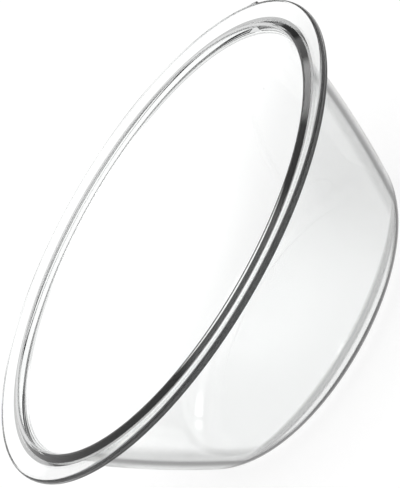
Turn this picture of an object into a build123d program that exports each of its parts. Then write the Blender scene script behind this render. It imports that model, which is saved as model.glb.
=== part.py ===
from build123d import *
from math import hypot, radians, sqrt, tan
import os

# A flanged bowl of clear pressed glass, in one piece: flat base, well rounded heel, tapered and
# slightly barrelled wall, and a wide flange round the mouth. The flange is dished down towards a
# narrow groove, and a bevel rises from the groove to the lip. One locating nib stands on the
# flange's edge.
#
# Frame: millimetres. +Z is up along the bowl's axis, with the mouth upwards. The origin is the
# centre of the base's underside, and +X points at the middle of the nib.

# Overall sizes
RIM_RADIUS = 170.0  # edge of the flange, without nib and parting bead
HEIGHT = 118.0  # underside of the base to the top of the lip

# Glass thicknesses
FLANGE_THICKNESS = 4.75  # along Z
WALL_THICKNESS = 4.0
BASE_THICKNESS = 4.5

# Outside of the wall
SEAT_WIDTH = 17.8  # underside of the flange, from its edge in to the wall
FOOT_RADIUS = 103.5  # where the wall's arc would meet the plane of the base
BARREL_RADIUS = 644.0  # radius of the wall's slight outward bow
HEEL_FILLET = 30.5  # outside, base to wall
SEAT_FILLET = 3.0  # flange underside to wall

# Lip and groove, counted outwards from the inside of the wall
LIP_LAND_WIDTH = 2.2  # level top of the lip
BEVEL_WIDTH = 3.2  # from the lip out to the groove
GROOVE_WIDTH = 2.1  # level floor of the groove
MOUTH_FILLET = 1.4  # lip to the inside of the wall
CREST_FILLET = 0.5  # lip to bevel

# Flange
DISH_ANGLE = 12.7  # how far the flange falls towards the wall, in degrees
EDGE_RISE = 0.3  # its top corner, before rounding, above the lip
RIM_TOP_FILLET = 1.3
RIM_UNDER_FILLET = 1.3
ROUNDING_SHARE = 0.4  # the most of the edge that each of its roundings may take up
PARTING_BEAD_WIDTH = 0.5  # where the halves of the mould met
PARTING_BEAD_HEIGHT = 0.15

# Locating nib: a ramp that climbs in one direction round the edge and ends in a blunt step
NIB_HEIGHT = 2.0
NIB_THICKNESS = 2.6
NIB_RAMP_LENGTH = 13.7
NIB_CREST_LENGTH = 1.9
NIB_STEP_LENGTH = 0.8
NIB_ROOT = 3.0  # how deep its blank reaches into the flange
NIB_CORNER_FILLET = 0.4

# The flange's top and underside fall at the same slope
dish_slope = tan(radians(DISH_ANGLE))
edge_high = HEIGHT + EDGE_RISE
edge_low = edge_high - FLANGE_THICKNESS
seat_radius = RIM_RADIUS - SEAT_WIDTH
seat_height = edge_low - SEAT_WIDTH * dish_slope

# Centre of the wall's outer arc, from the base's plane up to the flange
run = seat_radius - FOOT_RADIUS
wall_chord = hypot(run, seat_height)
stand_off = sqrt(BARREL_RADIUS**2 - (wall_chord / 2) ** 2)
barrel_x = (FOOT_RADIUS + seat_radius) / 2 - stand_off * seat_height / wall_chord
barrel_z = seat_height / 2 + stand_off * run / wall_chord

# The inside of the wall is an arc about the same centre
inner_barrel_radius = BARREL_RADIUS - WALL_THICKNESS
inner_foot_radius = barrel_x + sqrt(inner_barrel_radius**2 - (BASE_THICKNESS - barrel_z) ** 2)
mouth_radius = barrel_x + sqrt(inner_barrel_radius**2 - (HEIGHT - barrel_z) ** 2)

crest_radius = mouth_radius + LIP_LAND_WIDTH
groove_inner_radius = crest_radius + BEVEL_WIDTH
groove_outer_radius = groove_inner_radius + GROOVE_WIDTH
groove_height = edge_high - (RIM_RADIUS - groove_outer_radius) * dish_slope

# The bead runs round the middle of the flange's edge, between the two roundings
longest_rounding = ROUNDING_SHARE * (FLANGE_THICKNESS - PARTING_BEAD_WIDTH)
rim_under_fillet = min(RIM_UNDER_FILLET, longest_rounding)
rim_top_fillet = min(RIM_TOP_FILLET, longest_rounding * tan(radians(90 - DISH_ANGLE) / 2))
bead_low = (edge_low + edge_high - PARTING_BEAD_WIDTH) / 2
bead_high = bead_low + PARTING_BEAD_WIDTH

with BuildPart() as glass_bowl:
    with BuildSketch(Plane.XZ) as section:
        with BuildLine():
            Line((0, 0), (FOOT_RADIUS, 0))
            RadiusArc((FOOT_RADIUS, 0), (seat_radius, seat_height), -BARREL_RADIUS)
            Polyline((seat_radius, seat_height), (RIM_RADIUS, edge_low), (RIM_RADIUS, bead_low))
            SagittaArc((RIM_RADIUS, bead_low), (RIM_RADIUS, bead_high), -PARTING_BEAD_HEIGHT)
            Polyline(
                (RIM_RADIUS, bead_high),
                (RIM_RADIUS, edge_high),
                (groove_outer_radius, groove_height),
                (groove_inner_radius, groove_height),
                (crest_radius, HEIGHT),
                (mouth_radius, HEIGHT),
            )
            RadiusArc((mouth_radius, HEIGHT), (inner_foot_radius, BASE_THICKNESS), inner_barrel_radius)
            Polyline((inner_foot_radius, BASE_THICKNESS), (0, BASE_THICKNESS), (0, 0))
        make_face()
        for corner_x, corner_z, radius in (
            (FOOT_RADIUS, 0, HEEL_FILLET),
            (inner_foot_radius, BASE_THICKNESS, HEEL_FILLET - WALL_THICKNESS),
            (seat_radius, seat_height, SEAT_FILLET),
            (RIM_RADIUS, edge_low, rim_under_fillet),
            (RIM_RADIUS, edge_high, rim_top_fillet),
            (crest_radius, HEIGHT, CREST_FILLET),
            (mouth_radius, HEIGHT, MOUTH_FILLET),
        ):
            corner = section.vertices().sort_by_distance((corner_x, corner_z))[0]
            fillet(corner, radius)
    revolve(axis=Axis.Z)

    # The nib's plan runs from its blunt step, on the -Y side, over the crest and down the ramp
    step_foot_y = -(NIB_STEP_LENGTH + NIB_CREST_LENGTH + NIB_RAMP_LENGTH) / 2
    crest_start_y = step_foot_y + NIB_STEP_LENGTH
    crest_end_y = crest_start_y + NIB_CREST_LENGTH
    ramp_foot_y = -step_foot_y
    edge_at_feet = sqrt(RIM_RADIUS**2 - step_foot_y**2)
    nib_crest = RIM_RADIUS + NIB_HEIGHT
    nib_low = (edge_low + edge_high - NIB_THICKNESS) / 2
    with BuildSketch(Plane.XY.offset(nib_low)) as nib_plan:
        with BuildLine():
            Polyline(
                (edge_at_feet - NIB_ROOT, step_foot_y),
                (edge_at_feet, step_foot_y),
                (nib_crest, crest_start_y),
                (nib_crest, crest_end_y),
                (edge_at_feet, ramp_foot_y),
                (edge_at_feet - NIB_ROOT, ramp_foot_y),
                close=True,
            )
        make_face()
        fillet(nib_plan.vertices().group_by(Axis.X)[-1], NIB_CORNER_FILLET)
    extrude(amount=NIB_THICKNESS)

glass_bowl.part.label = "glass_bowl"
os.makedirs("parts", exist_ok=True)
export_step(glass_bowl.part, "parts/glass_bowl.step")

size = glass_bowl.part.bounding_box().size
print("glass_bowl", round(size.X, 2), round(size.Y, 2), round(size.Z, 2), "mm")
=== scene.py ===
from math import atan2, cos, hypot, pi, radians, sin, sqrt, tan

import bmesh
import bpy
from mathutils import Matrix, Vector


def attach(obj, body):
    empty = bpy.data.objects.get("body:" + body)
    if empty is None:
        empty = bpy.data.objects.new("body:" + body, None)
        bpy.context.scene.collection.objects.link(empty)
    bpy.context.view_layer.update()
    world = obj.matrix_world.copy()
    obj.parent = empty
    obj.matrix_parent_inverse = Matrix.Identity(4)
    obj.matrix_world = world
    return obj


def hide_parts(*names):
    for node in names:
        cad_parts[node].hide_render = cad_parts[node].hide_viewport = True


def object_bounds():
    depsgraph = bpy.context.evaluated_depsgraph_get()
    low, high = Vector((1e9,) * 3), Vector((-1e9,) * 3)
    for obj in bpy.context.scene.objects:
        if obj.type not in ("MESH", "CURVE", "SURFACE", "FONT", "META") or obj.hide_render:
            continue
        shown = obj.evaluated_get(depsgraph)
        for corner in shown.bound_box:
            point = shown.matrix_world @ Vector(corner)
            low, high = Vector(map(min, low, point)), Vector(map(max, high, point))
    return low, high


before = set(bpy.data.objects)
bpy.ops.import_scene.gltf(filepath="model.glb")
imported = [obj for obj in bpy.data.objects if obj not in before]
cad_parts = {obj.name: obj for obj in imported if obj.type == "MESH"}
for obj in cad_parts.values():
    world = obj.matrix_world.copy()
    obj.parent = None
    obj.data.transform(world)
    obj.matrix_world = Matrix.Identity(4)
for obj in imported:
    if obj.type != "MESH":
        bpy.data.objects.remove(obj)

# Looks of a flanged bowl of clear pressed glass. Lengths are in metres. The bowl stands on its
# base, with +Z up through the mouth and the nib of its flange on +X.

cad_low, cad_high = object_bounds()
scene = bpy.context.scene
MM = 0.001

# ---- Sizes of the glass, the same as in the solid model ----

PARTING_BEAD_HEIGHT = 0.15 * MM
PARTING_BEAD_WIDTH = 0.5 * MM
HEIGHT = cad_high.z
RIM_RADIUS = -cad_low.x - PARTING_BEAD_HEIGHT

FLANGE_THICKNESS = 4.75 * MM
WALL_THICKNESS = 4.0 * MM
BASE_THICKNESS = 4.5 * MM

SEAT_WIDTH = 17.8 * MM
FOOT_RADIUS = 103.5 * MM
BARREL_RADIUS = 644.0 * MM
HEEL_FILLET = 30.5 * MM
SEAT_FILLET = 3.0 * MM

LIP_LAND_WIDTH = 2.2 * MM
BEVEL_WIDTH = 3.2 * MM
GROOVE_WIDTH = 2.1 * MM
MOUTH_FILLET = 1.4 * MM
CREST_FILLET = 0.5 * MM
GROOVE_FILLET = 0.25 * MM

DISH_ANGLE = radians(12.7)
EDGE_RISE = 0.3 * MM
RIM_FILLET = 1.3 * MM

NIB_HEIGHT = cad_high.x - RIM_RADIUS
NIB_THICKNESS = 2.6 * MM
NIB_RAMP_LENGTH = 13.7 * MM
NIB_CREST_LENGTH = 1.9 * MM
NIB_STEP_LENGTH = 0.8 * MM
NIB_SHOULDER = (0.3 * MM, 0.1 * MM)  # inside and outside its top and bottom, where it dies away

# ---- Mesh density ----

TURN_STEPS = 288
NIB_STEPS = 34
WALL_STEPS = 40
HEEL_STEPS = 22
SMALL_STEPS = 7
FLAT_STEPS = 6
FLOOR_STEPS = 96
MERGE_DISTANCE = 0.001 * MM

# ---- Camera ----

LENS_MM = 240.6
CAMERA_AZIMUTH = radians(-110.8)
CAMERA_ELEVATION = radians(22.06)
CAMERA_ROLL = radians(60.05)
CAMERA_DISTANCE = 2.04
AIM = Vector((0.0060, -0.0125, 0.0929))

# ---- Painted shade on the glass ----

# Each tone is how far the painted shade takes the colour from clear to dark, and each pair of limits is a
# soft step

EDGE_REACH = (RIM_RADIUS - 1.6 * MM, RIM_RADIUS - 0.8 * MM)
EDGE_TURN = (0.22 * RIM_RADIUS, 0.42 * RIM_RADIUS)  # only where the skin stands rather than lies
EDGE_GRAZING = (0.75, 0.97)
NIB_REACH = (RIM_RADIUS + 0.4 * MM, RIM_RADIUS + 0.9 * MM)
NIB_TONE = 0.97

LIP_HEIGHT = (HEIGHT - 1.6 * MM, HEIGHT - 1.0 * MM)
LIP_TONE = 0.55
GROOVE_HEIGHT = (HEIGHT - 4 * MM, HEIGHT - 3 * MM)
GROOVE_TONE = 0.75
LIP_FADE = 0.4 * MM
GROOVE_FADE = (0.3 * MM, 0.1 * MM)  # outside and inside the limits of the groove's floor

WALL_OUTSIDE = (0.0, 0.1 * MM)
FLANGE_FOOT = (HEIGHT - 14 * MM, HEIGHT - 9 * MM)
OUTLINE_START = (0.59, 0.70)
OUTLINE_TONE = 0.55
OUTLINE_LINE_START = (0.73, 0.775)
OUTLINE_LINE_TONE = 0.43
OUTLINE_END = (0.80, 0.94)
PAINTED_VEIL_START = (0.28, 0.42)
PAINTED_VEIL_TONE = 0.07
SHADED_SIDE = (-10 * MM, 50 * MM)  # along X
SHADED_SIDE_TONE = 0.20

HEEL_BAND_FOOT = (13.3 * MM, 15.5 * MM)
HEEL_BAND_HEAD = (19.5 * MM, 24.0 * MM)
HEEL_BAND_TONE = 0.70
BASE_LINE_FOOT = (2.0 * MM, 6.0 * MM)
BASE_LINE_HEAD = (9.6 * MM, 11.0 * MM)

CLEAR = (0.995, 1.0, 0.998, 1.0)
DARKEST = 0.004

# ---- The glass itself ----

GLASS_IOR = 1.5
BODY_COLOUR = (0.62, 0.65, 0.64, 1.0)
BODY_DENSITY = 8.0
POLISH = 0.002  # roughness where there is no film
FILM_ROUGHNESS = 0.016
FILM_GRAIN = {"Scale": 60.0, "Detail": 3.0, "Roughness": 0.6}
WAVE_GRAIN = {"Scale": 22.0, "Detail": 1.0, "Roughness": 0.4}
WAVE_SHARE = 0.6
SEED_SPACING = 18.0
SEED_EDGE = (0.006, 0.014)
SEED_SHARE = 0.4
RELIEF_STRENGTH = 0.25

# ---- Floor ----

FLOOR_RADIUS = 14.0
FLOOR_GAP = 0.3 * MM
FLOOR_COLOUR = 0.15
FLOOR_GLOW = 0.87
FLOOR_REFLECTED = 0.70

# Tones that show through the glass, painted shadow and light on the floor: a painted shadow below the base,
# a painted bright halo round it, a tone farther out, and a painted soft shade to one side
BASE_TONE = 0.90
HALO_TONE = 1.0
HALO_SHARE = 0.6
HALO_INSIDE = (0.106, 0.113)
HALO_OUTSIDE = (0.115, 0.123)
FAR_TONE = 0.96
FAR_START = (0.150, 0.210)
SHADE_CENTRE = (0.180, 0.055, 0.0)
SHADE_EDGE = (0.070, 0.200)
SHADE_TONE = 0.79

# ---- Room ----

SKY_LEVEL = 0.875
BRIGHTEST = 4.0
OVERHEAD_EDGE = (0.90, 0.97)  # sine of the elevation
OVERHEAD_LEVEL = 1.6

# A slim soft lamp stands beyond the nib, from its low end to its high end as (azimuth, elevation),
# with the azimuth counted from +X
LAMP_LOW = (radians(25), radians(31))
LAMP_HIGH = (radians(14), radians(43))
LAMP_CORE = radians(2.5)
LAMP_SPREAD = radians(7)
LAMP_LEVEL = 3.1

# A dark strip lies low on the same side
STRIP_AZIMUTH = radians(15)
STRIP_FOOT = radians(4)
STRIP_TOP = radians(15)
STRIP_BLUR = 0.05  # in the sine of the elevation
STRIP_SIDES = (0.50, 0.75)
STRIP_DEPTH = 0.70


# ---- Directions and the camera's place ----


def heading(azimuth, elevation):
    """The direction with this azimuth and elevation."""
    return Vector((
        cos(elevation) * cos(azimuth),
        cos(elevation) * sin(azimuth),
        sin(elevation),
    ))


def make_camera():
    """A long lens, looking down across the mouth and rolled so that the bowl leans over."""
    data = bpy.data.cameras.new("camera")
    data.lens = LENS_MM
    camera = bpy.data.objects.new("camera", data)
    scene.collection.objects.link(camera)
    back = heading(CAMERA_AZIMUTH, CAMERA_ELEVATION)
    unrolled = (-back).to_track_quat("-Z", "Y").to_matrix()
    turned = unrolled @ Matrix.Rotation(-CAMERA_ROLL, 3, "Z")
    camera.matrix_world = Matrix.Translation(AIM + back * CAMERA_DISTANCE) @ turned.to_4x4()
    scene.camera = camera


# ---- Shader nodes as expressions ----


class Socket:
    """One output of a shader node. Sums written on it add Math nodes."""

    def __init__(self, tree, link):
        self.tree, self.link = tree, link

    @classmethod
    def node(cls, tree, kind, settings=None, inputs=None, output=0):
        """Adds any node: its settings first, then the values or links of its sockets."""
        made = tree.nodes.new(kind)
        for name, value in (settings or {}).items():
            setattr(made, name, value)
        for name, value in (inputs or {}).items():
            if isinstance(value, Socket):
                tree.links.new(value.link, made.inputs[name])
            else:
                made.inputs[name].default_value = value
        return cls(tree, made.outputs[output]) if made.outputs else None

    def maths(self, operation, first, second):
        return self.node(self.tree, "ShaderNodeMath", {"operation": operation}, {0: first, 1: second})

    def __add__(self, other):
        return self.maths("ADD", self, other)

    def __sub__(self, other):
        return self.maths("SUBTRACT", self, other)

    def __rsub__(self, other):
        return self.maths("SUBTRACT", other, self)

    def __mul__(self, other):
        return self.maths("MULTIPLY", self, other)

    __radd__ = __add__
    __rmul__ = __mul__

    def at_least(self, other):
        return self.maths("MAXIMUM", self, other)

    def smooth(self, low, high):
        """0 below low, 1 above high, and a soft step between."""
        ends = {"Value": self, "From Min": low, "From Max": high}
        return self.node(self.tree, "ShaderNodeMapRange", {"interpolation_type": "SMOOTHSTEP"}, ends)

    def between(self, start, end):
        """1 from the start to the end, both of them soft steps, and 0 outside them."""
        return self.smooth(*start) * (1 - self.smooth(*end))


def level(place):
    """The part of a place that lies across the bowl's axis."""
    across = {0: place, 1: (1.0, 1.0, 0.0)}
    return Socket.node(place.tree, "ShaderNodeVectorMath", {"operation": "MULTIPLY"}, across)


def from_axis(place):
    """Distance from the bowl's axis."""
    length = {"operation": "LENGTH"}
    return Socket.node(place.tree, "ShaderNodeVectorMath", length, {0: level(place)}, "Value")


def dot(first, second):
    """How far two directions agree."""
    product = {"operation": "DOT_PRODUCT"}
    return Socket.node(first.tree, "ShaderNodeVectorMath", product, {0: first, 1: second}, "Value")


def blend(share, first, second):
    """A colour that goes from the first to the second as the share goes from 0 to 1."""
    ends = {0: share, 6: first, 7: second}
    return Socket.node(share.tree, "ShaderNodeMix", {"data_type": "RGBA"}, ends, output=2)


def grey(tone):
    return (tone, tone, tone, 1.0)


def new_material(name):
    material = bpy.data.materials.new(name)
    material.use_nodes = True
    material.node_tree.nodes.clear()
    return material, material.node_tree


# ---- The bowl's section ----


def arc(centre, radius, start, end, steps):
    """Points round a centre from one angle to another, both ends included."""
    angles = [start + (end - start) * i / steps for i in range(steps + 1)]
    return [(centre[0] + radius * cos(a), centre[1] + radius * sin(a)) for a in angles]


def bearing(centre, point):
    return atan2(point[1] - centre[1], point[0] - centre[0])


def rounded(before, corner, after, radius, steps=SMALL_STEPS):
    """The arc that rounds the corner between two straight lines."""
    to_before = Vector((before[0] - corner[0], before[1] - corner[1])).normalized()
    to_after = Vector((after[0] - corner[0], after[1] - corner[1])).normalized()
    half = to_before.angle(to_after) / 2
    middle = (to_before + to_after).normalized()
    centre = Vector(corner) + middle * (radius / sin(half))
    start = Vector(corner) + to_before * (radius / tan(half))
    end = Vector(corner) + to_after * (radius / tan(half))
    first, last = bearing(centre, start), bearing(centre, end)
    if last - first > pi:
        last -= 2 * pi
    if first - last > pi:
        last += 2 * pi
    return arc(centre, radius, first, last, steps)


def straight(start, end, steps):
    """Points strictly between two points."""
    return [
        (start[0] + (end[0] - start[0]) * i / steps, start[1] + (end[1] - start[1]) * i / steps)
        for i in range(1, steps)
    ]


def bowl_section():
    """The half section as (radius, height) points, from the base's centre round to the floor's."""
    slope = tan(DISH_ANGLE)
    edge_high = HEIGHT + EDGE_RISE
    edge_low = edge_high - FLANGE_THICKNESS
    edge_middle = (edge_low + edge_high) / 2
    seat = (RIM_RADIUS - SEAT_WIDTH, edge_low - SEAT_WIDTH * slope)

    # The wall's outside is an arc through its foot and the seat; the inside shares its centre
    run = seat[0] - FOOT_RADIUS
    chord = hypot(run, seat[1])
    stand_off = sqrt(BARREL_RADIUS**2 - (chord / 2) ** 2)
    barrel = (
        (FOOT_RADIUS + seat[0]) / 2 - stand_off * seat[1] / chord,
        seat[1] / 2 + stand_off * run / chord,
    )
    inner_radius = BARREL_RADIUS - WALL_THICKNESS

    def beside_barrel(distance, height):
        return barrel[0] + sqrt(distance**2 - (height - barrel[1]) ** 2)

    # Centres of the roundings that touch a wall arc
    heel = (beside_barrel(BARREL_RADIUS - HEEL_FILLET, HEEL_FILLET), HEEL_FILLET)
    floor_fillet = HEEL_FILLET - WALL_THICKNESS
    floor_centre_height = BASE_THICKNESS + floor_fillet
    floor = (beside_barrel(inner_radius - floor_fillet, floor_centre_height), floor_centre_height)
    mouth_height = HEIGHT - MOUTH_FILLET
    mouth = (beside_barrel(inner_radius + MOUTH_FILLET, mouth_height), mouth_height)

    # The seat's rounding touches the sloping underside: it lies on a line and on a circle
    seat_reach = BARREL_RADIUS + SEAT_FILLET
    drop = edge_low - RIM_RADIUS * slope - SEAT_FILLET / cos(DISH_ANGLE) - barrel[1]
    a, b = 1 + slope**2, 2 * (slope * drop - barrel[0])
    c = barrel[0] ** 2 + drop**2 - seat_reach**2
    seat_x = (-b + sqrt(b * b - 4 * a * c)) / (2 * a)
    seat_centre = (seat_x, slope * seat_x + drop + barrel[1])

    mouth_radius = beside_barrel(inner_radius, HEIGHT)
    crest = (mouth_radius + LIP_LAND_WIDTH, HEIGHT)
    groove_inner = crest[0] + BEVEL_WIDTH
    groove_outer = groove_inner + GROOVE_WIDTH
    groove_height = edge_high - (RIM_RADIUS - groove_outer) * slope

    low_corner, high_corner = (RIM_RADIUS, edge_low), (RIM_RADIUS, edge_high)
    groove_near, groove_far = (groove_inner, groove_height), (groove_outer, groove_height)
    bead_half = PARTING_BEAD_WIDTH / 2
    bead_foot, bead_head = edge_middle - bead_half, edge_middle + bead_half

    points = [(0.0, 0.0)]
    points += straight((0.0, 0.0), (heel[0], 0.0), FLAT_STEPS)
    points += arc(heel, HEEL_FILLET, -pi / 2, bearing(barrel, heel), HEEL_STEPS)
    points += arc(
        barrel, BARREL_RADIUS, bearing(barrel, heel), bearing(barrel, seat_centre), WALL_STEPS
    )[1:]
    points += arc(
        seat_centre,
        SEAT_FILLET,
        bearing(barrel, seat_centre) + pi,
        pi / 2 + DISH_ANGLE,
        SMALL_STEPS,
    )[1:]
    under = rounded(seat, low_corner, high_corner, RIM_FILLET)
    points += straight(points[-1], under[0], FLAT_STEPS) + under
    for i in range(SMALL_STEPS + 1):
        along = i / SMALL_STEPS
        proud = PARTING_BEAD_HEIGHT * 4 * along * (1 - along)
        points.append((RIM_RADIUS + proud, bead_foot + (bead_head - bead_foot) * along))
    top = rounded(low_corner, high_corner, groove_far, RIM_FILLET)
    outer_line = rounded(high_corner, groove_far, groove_near, GROOVE_FILLET * 2)
    points += top + straight(top[-1], outer_line[0], FLAT_STEPS) + outer_line
    points += rounded(groove_far, groove_near, crest, GROOVE_FILLET)
    points += rounded(groove_near, crest, (mouth_radius, HEIGHT), CREST_FILLET)
    points += arc(mouth, MOUTH_FILLET, pi / 2, bearing(barrel, mouth) + pi, SMALL_STEPS)
    points += arc(
        barrel, inner_radius, bearing(barrel, mouth), bearing(barrel, floor), WALL_STEPS
    )[1:]
    points += arc(floor, floor_fillet, bearing(barrel, floor), -pi / 2, HEEL_STEPS)[1:]
    points += straight((floor[0], BASE_THICKNESS), (0.0, BASE_THICKNESS), FLAT_STEPS)
    points.append((0.0, BASE_THICKNESS))
    return points, edge_middle, (crest[0], groove_inner, groove_outer)


def ease(value, low, high):
    """0 below low, 1 above high, and a soft step between."""
    share = min(max((value - low) / (high - low), 0.0), 1.0)
    return share * share * (3 - 2 * share)


def nib_rise(y):
    """How far the nib stands out at a distance along the edge: step, crest, then a long ramp."""
    foot = -(NIB_STEP_LENGTH + NIB_CREST_LENGTH + NIB_RAMP_LENGTH) / 2
    crest_end = foot + NIB_STEP_LENGTH + NIB_CREST_LENGTH
    climbing = ease(y, foot, foot + NIB_STEP_LENGTH)
    falling = 1 - min(max((y - crest_end) / NIB_RAMP_LENGTH, 0.0), 1.0)
    return climbing * falling


def make_glass():
    """One closed skin, spun from the section, in fine steps where the nib is."""
    section, edge_middle, lip_radii = bowl_section()
    nib_half_angle = (NIB_STEP_LENGTH + NIB_CREST_LENGTH + NIB_RAMP_LENGTH) / 2 / RIM_RADIUS
    bm = bmesh.new()
    ring = [bm.verts.new((r, 0.0, z)) for r, z in section]
    edges = [bm.edges.new(pair) for pair in zip(ring, ring[1:])]
    bmesh.ops.rotate(bm, verts=ring, cent=(0, 0, 0), matrix=Matrix.Rotation(-nib_half_angle, 3, "Z"))
    spin_axis = {"cent": (0, 0, 0), "axis": (0, 0, 1)}
    made = bmesh.ops.spin(
        bm, geom=ring + edges, angle=2 * nib_half_angle, steps=NIB_STEPS, use_merge=False, **spin_axis
    )
    bmesh.ops.spin(
        bm,
        geom=made["geom_last"],
        angle=2 * pi - 2 * nib_half_angle,
        steps=TURN_STEPS,
        use_merge=False,
        **spin_axis,
    )
    bmesh.ops.remove_doubles(bm, verts=bm.verts, dist=MERGE_DISTANCE)
    bmesh.ops.recalc_face_normals(bm, faces=bm.faces)

    # The nib rises from the middle of the edge and dies away into the two roundings. Its crest
    # bends a little more than the flange does
    full = NIB_THICKNESS / 2 - NIB_SHOULDER[0]
    gone = NIB_THICKNESS / 2 + NIB_SHOULDER[1]
    for vert in bm.verts:
        radius = hypot(vert.co.x, vert.co.y)
        if vert.co.x < 0 or radius < RIM_RADIUS - RIM_FILLET:
            continue
        upright = 1 - ease(abs(vert.co.z - edge_middle), full, gone)
        rise = nib_rise(vert.co.y) * upright
        if rise > 0:
            target = RIM_RADIUS + NIB_HEIGHT - 0.5 * vert.co.y**2 / RIM_RADIUS
            scale = 1 + rise * (target / radius - 1)
            vert.co.x *= scale
            vert.co.y *= scale

    mesh = bpy.data.meshes.new("pressed_glass")
    bm.to_mesh(mesh)
    bm.free()
    mesh.polygons.foreach_set("use_smooth", [True] * len(mesh.polygons))
    piece = bpy.data.objects.new("pressed_glass", mesh)
    scene.collection.objects.link(piece)
    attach(piece, "root")
    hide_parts("glass_bowl")
    piece.data.materials.append(clear_glass(*lip_radii))


# ---- Materials ----


def clear_glass(crest_radius, groove_inner, groove_outer):
    """Clear glass whose colour is painted with shade at the edge, the lip, the wall and the heel."""
    material, tree = new_material("clear_pressed_glass")
    place = Socket.node(tree, "ShaderNodeTexCoord", output="Object")
    reach = from_axis(place)
    height = Socket.node(tree, "ShaderNodeSeparateXYZ", inputs={"Vector": place}, output="Z")
    along_x = Socket.node(tree, "ShaderNodeSeparateXYZ", inputs={"Vector": place}, output="X")

    # The painted shade lies only on light on its way in, so that the far side still looks clear from inside
    entering = 1 - Socket.node(tree, "ShaderNodeNewGeometry", output="Backfacing")
    facing = Socket.node(tree, "ShaderNodeLayerWeight", inputs={"Blend": 0.5}, output="Facing")
    normal = Socket.node(tree, "ShaderNodeNewGeometry", output="Normal")
    outwards = dot(normal, level(place))

    # Painted shade: the flange's edge is painted dark in the colour, standing in for the light the real
    # edge takes in and leads away, and so is the nib
    edge = reach.smooth(*EDGE_REACH) * outwards.smooth(*EDGE_TURN) * (1 - facing.smooth(*EDGE_GRAZING))
    nib = reach.smooth(*NIB_REACH) * NIB_TONE

    # Painted shade on the wall's outside: it darkens towards its outline, most where a sight line grazes
    # the inner skin, and a slight painted veil of shade lies over the rest of it, deeper on the nib's side
    outline = facing.smooth(*OUTLINE_START) * OUTLINE_TONE
    outline = outline + facing.smooth(*OUTLINE_LINE_START) * OUTLINE_LINE_TONE
    outline = outline * (1 - facing.smooth(*OUTLINE_END))
    painted_veil = along_x.smooth(*SHADED_SIDE) * SHADED_SIDE_TONE + PAINTED_VEIL_TONE
    painted_veil = painted_veil * facing.smooth(*PAINTED_VEIL_START)
    below_flange = 1 - height.smooth(*FLANGE_FOOT)

    # Painted shade on the thick heel: a dim band, a clear line below it and a dark line above the base
    band = height.between(HEEL_BAND_FOOT, HEEL_BAND_HEAD) * HEEL_BAND_TONE
    heel = band.at_least(height.between(BASE_LINE_FOOT, BASE_LINE_HEAD))
    wall = (outline.at_least(painted_veil) * below_flange).at_least(heel) * outwards.smooth(*WALL_OUTSIDE)

    # Painted shade on the rounded lip of the mouth, and on the groove round it
    lip = height.smooth(*LIP_HEIGHT) * (1 - reach.smooth(crest_radius, crest_radius + LIP_FADE))
    groove_start = (groove_inner - GROOVE_FADE[0], groove_inner + GROOVE_FADE[1])
    groove_end = (groove_outer - GROOVE_FADE[1], groove_outer + GROOVE_FADE[0])
    groove = reach.between(groove_start, groove_end) * height.smooth(*GROOVE_HEIGHT)
    mouth = (lip * LIP_TONE).at_least(groove * GROOVE_TONE)

    # All the painted shade together darkens the glass's colour
    painted_shade = edge.at_least(nib).at_least(wall).at_least(mouth) * entering
    colour = blend(painted_shade, CLEAR, grey(DARKEST))

    # Pressing leaves slow waves and a few small seeds, and handling leaves a slight film
    film = Socket.node(tree, "ShaderNodeTexNoise", inputs={"Vector": place, **FILM_GRAIN})
    waves = Socket.node(tree, "ShaderNodeTexNoise", inputs={"Vector": place, **WAVE_GRAIN})
    cells = {"Vector": place, "Scale": SEED_SPACING}
    seeds = 1 - Socket.node(tree, "ShaderNodeTexVoronoi", inputs=cells).smooth(*SEED_EDGE)
    uneven = waves * WAVE_SHARE + seeds * SEED_SHARE
    relief = Socket.node(
        tree, "ShaderNodeBump", inputs={"Height": uneven, "Distance": MM, "Strength": RELIEF_STRENGTH}
    )
    glass = Socket.node(
        tree,
        "ShaderNodeBsdfPrincipled",
        inputs={
            "Base Color": colour,
            "IOR": GLASS_IOR,
            "Transmission Weight": 1.0,
            "Roughness": film * FILM_ROUGHNESS + POLISH,
            "Normal": relief,
        },
    )
    absorbing = {"Color": BODY_COLOUR, "Density": BODY_DENSITY}
    body = Socket.node(tree, "ShaderNodeVolumeAbsorption", inputs=absorbing)
    Socket.node(tree, "ShaderNodeOutputMaterial", inputs={"Surface": glass, "Volume": body})
    return material


# ---- Stage ----


def stage_floor():
    """A matt floor that glows white, keeps the bowl's shadow and has painted shadow and light that show
    through glass.
    """
    bm = bmesh.new()
    just_below = Matrix.Translation((0, 0, -FLOOR_GAP))
    bmesh.ops.create_circle(bm, cap_ends=True, segments=FLOOR_STEPS, radius=FLOOR_RADIUS, matrix=just_below)
    mesh = bpy.data.meshes.new("stage_floor")
    bm.to_mesh(mesh)
    bm.free()
    floor = bpy.data.objects.new("stage_floor", mesh)
    scene.collection.objects.link(floor)
    mesh.materials.append(white_floor())


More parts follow.
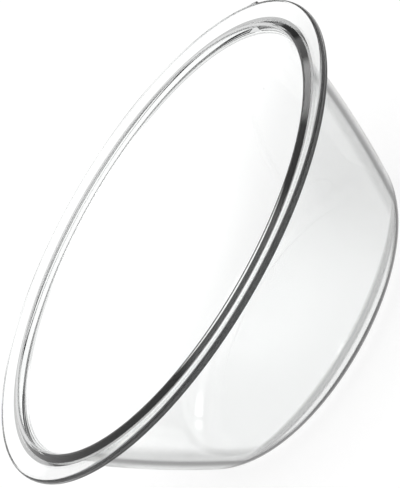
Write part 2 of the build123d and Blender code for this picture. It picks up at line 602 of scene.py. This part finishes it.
def white_floor():
    """Its glow depends on whether it is looked at, reflected or seen through the glass."""
    material, tree = new_material("white_floor")
    place = Socket.node(tree, "ShaderNodeTexCoord", output="Object")
    reach = from_axis(place)
    camera = Socket.node(tree, "ShaderNodeLightPath", output="Is Camera Ray")
    glossy = Socket.node(tree, "ShaderNodeLightPath", output="Is Glossy Ray")
    transmitted = Socket.node(tree, "ShaderNodeLightPath", output="Is Transmission Ray")

    # Painted shadow under the base and to one side, and a painted halo, seen only through the glass
    halo = reach.between(HALO_INSIDE, HALO_OUTSIDE) * HALO_SHARE
    near_foot = blend(halo, grey(BASE_TONE), grey(HALO_TONE))
    through_glass = blend(reach.smooth(*FAR_START), near_foot, grey(FAR_TONE))
    aside = Socket.node(
        tree, "ShaderNodeVectorMath", {"operation": "DISTANCE"}, {0: place, 1: SHADE_CENTRE}, "Value"
    )
    through_glass = blend(aside.smooth(*SHADE_EDGE), grey(SHADE_TONE), through_glass)
    reflected = blend(glossy, grey(0.0), grey(FLOOR_REFLECTED))
    glow = blend(camera, blend(transmitted, reflected, through_glass), grey(FLOOR_GLOW))
    matt = Socket.node(
        tree,
        "ShaderNodeBsdfPrincipled",
        inputs={
            "Base Color": grey(FLOOR_COLOUR),
            "Roughness": 1.0,
            "Specular IOR Level": 0.0,
            "Emission Color": glow,
            "Emission Strength": 1.0,
        },
    )
    Socket.node(tree, "ShaderNodeOutputMaterial", inputs={"Surface": matt})
    return material


def studio():
    """A white room: a brighter panel overhead, and beyond the nib a slim lamp and a dark strip."""
    world = bpy.data.worlds.new("studio")
    world.use_nodes = True
    tree = world.node_tree
    tree.nodes.clear()
    direction = Socket.node(tree, "ShaderNodeTexCoord", output="Generated")
    up = Socket.node(tree, "ShaderNodeSeparateXYZ", inputs={"Vector": direction}, output="Z")

    foot, top = sin(STRIP_FOOT), sin(STRIP_TOP)
    strip = up.between((foot, foot + STRIP_BLUR), (top, top + STRIP_BLUR))
    strip = strip * dot(direction, heading(STRIP_AZIMUTH, 0)).smooth(*STRIP_SIDES)
    overhead = up.smooth(*OVERHEAD_EDGE) * OVERHEAD_LEVEL
    sky = SKY_LEVEL + overhead - strip * STRIP_DEPTH

    lamp_low, lamp_high = heading(*LAMP_LOW), heading(*LAMP_HIGH)
    half_length = lamp_low.angle(lamp_high) / 2
    towards = dot(direction, (lamp_low + lamp_high).normalized())
    beside = dot(direction, lamp_low.cross(lamp_high).normalized())
    lamp = towards.smooth(cos(half_length + LAMP_SPREAD), cos(half_length)) * LAMP_LEVEL
    lamp = lamp * (1 - (beside * beside).smooth(sin(LAMP_CORE) ** 2, sin(LAMP_SPREAD) ** 2))

    camera = Socket.node(tree, "ShaderNodeLightPath", output="Is Camera Ray")
    light = blend((sky + lamp) * (1 / BRIGHTEST), grey(0.0), grey(BRIGHTEST))
    seen = blend(camera, light, grey(1.0))
    glow = Socket.node(tree, "ShaderNodeBackground", inputs={"Color": seen, "Strength": 1.0})
    Socket.node(tree, "ShaderNodeOutputWorld", inputs={"Surface": glow})
    scene.world = world


make_camera()
make_glass()
stage_floor()
studio()

scene.view_settings.view_transform = "Standard"
